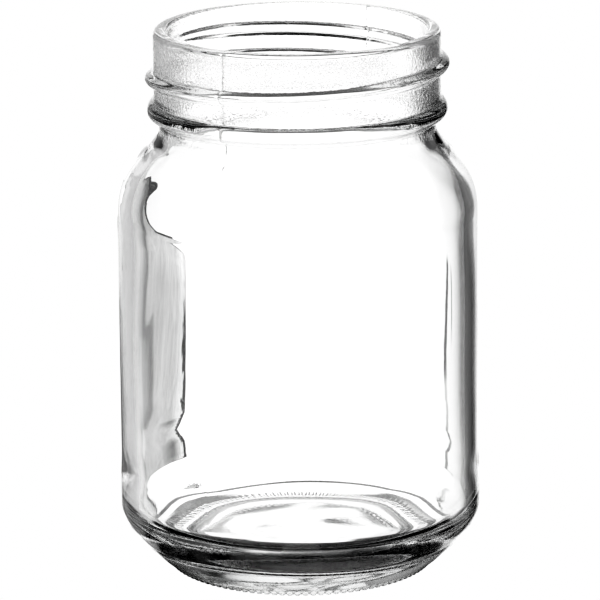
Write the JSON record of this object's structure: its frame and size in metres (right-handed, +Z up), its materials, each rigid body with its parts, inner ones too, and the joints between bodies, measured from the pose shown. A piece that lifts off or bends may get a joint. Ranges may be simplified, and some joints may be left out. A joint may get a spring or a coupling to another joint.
{
  "type": "mason jar",
  "caption": "Clear glass pint canning jar with a 70 mm threaded neck, rounded lip, transfer bead, round shoulder, straight body and knurled pushed-up base; holds food or drink.",
  "frame": {"origin": "centre of the base, on the plane of the bearing surface the jar stands on", "axes": "+Z up the jar's axis out of the mouth; -Y is the front, where the thread crest is 9.6 mm below the lip; +X is to the right seen from the front"},
  "size_m": [0.083, 0.083, 0.125],
  "materials": {
    "flint_glass": "polished outside with mould-chilled orange peel on the neck, fire-polished lip, gently uneven inside surface"
  },
  "bodies": {
    "root": {"glass_jar": "flint_glass"}
  },
  "joints": []
}
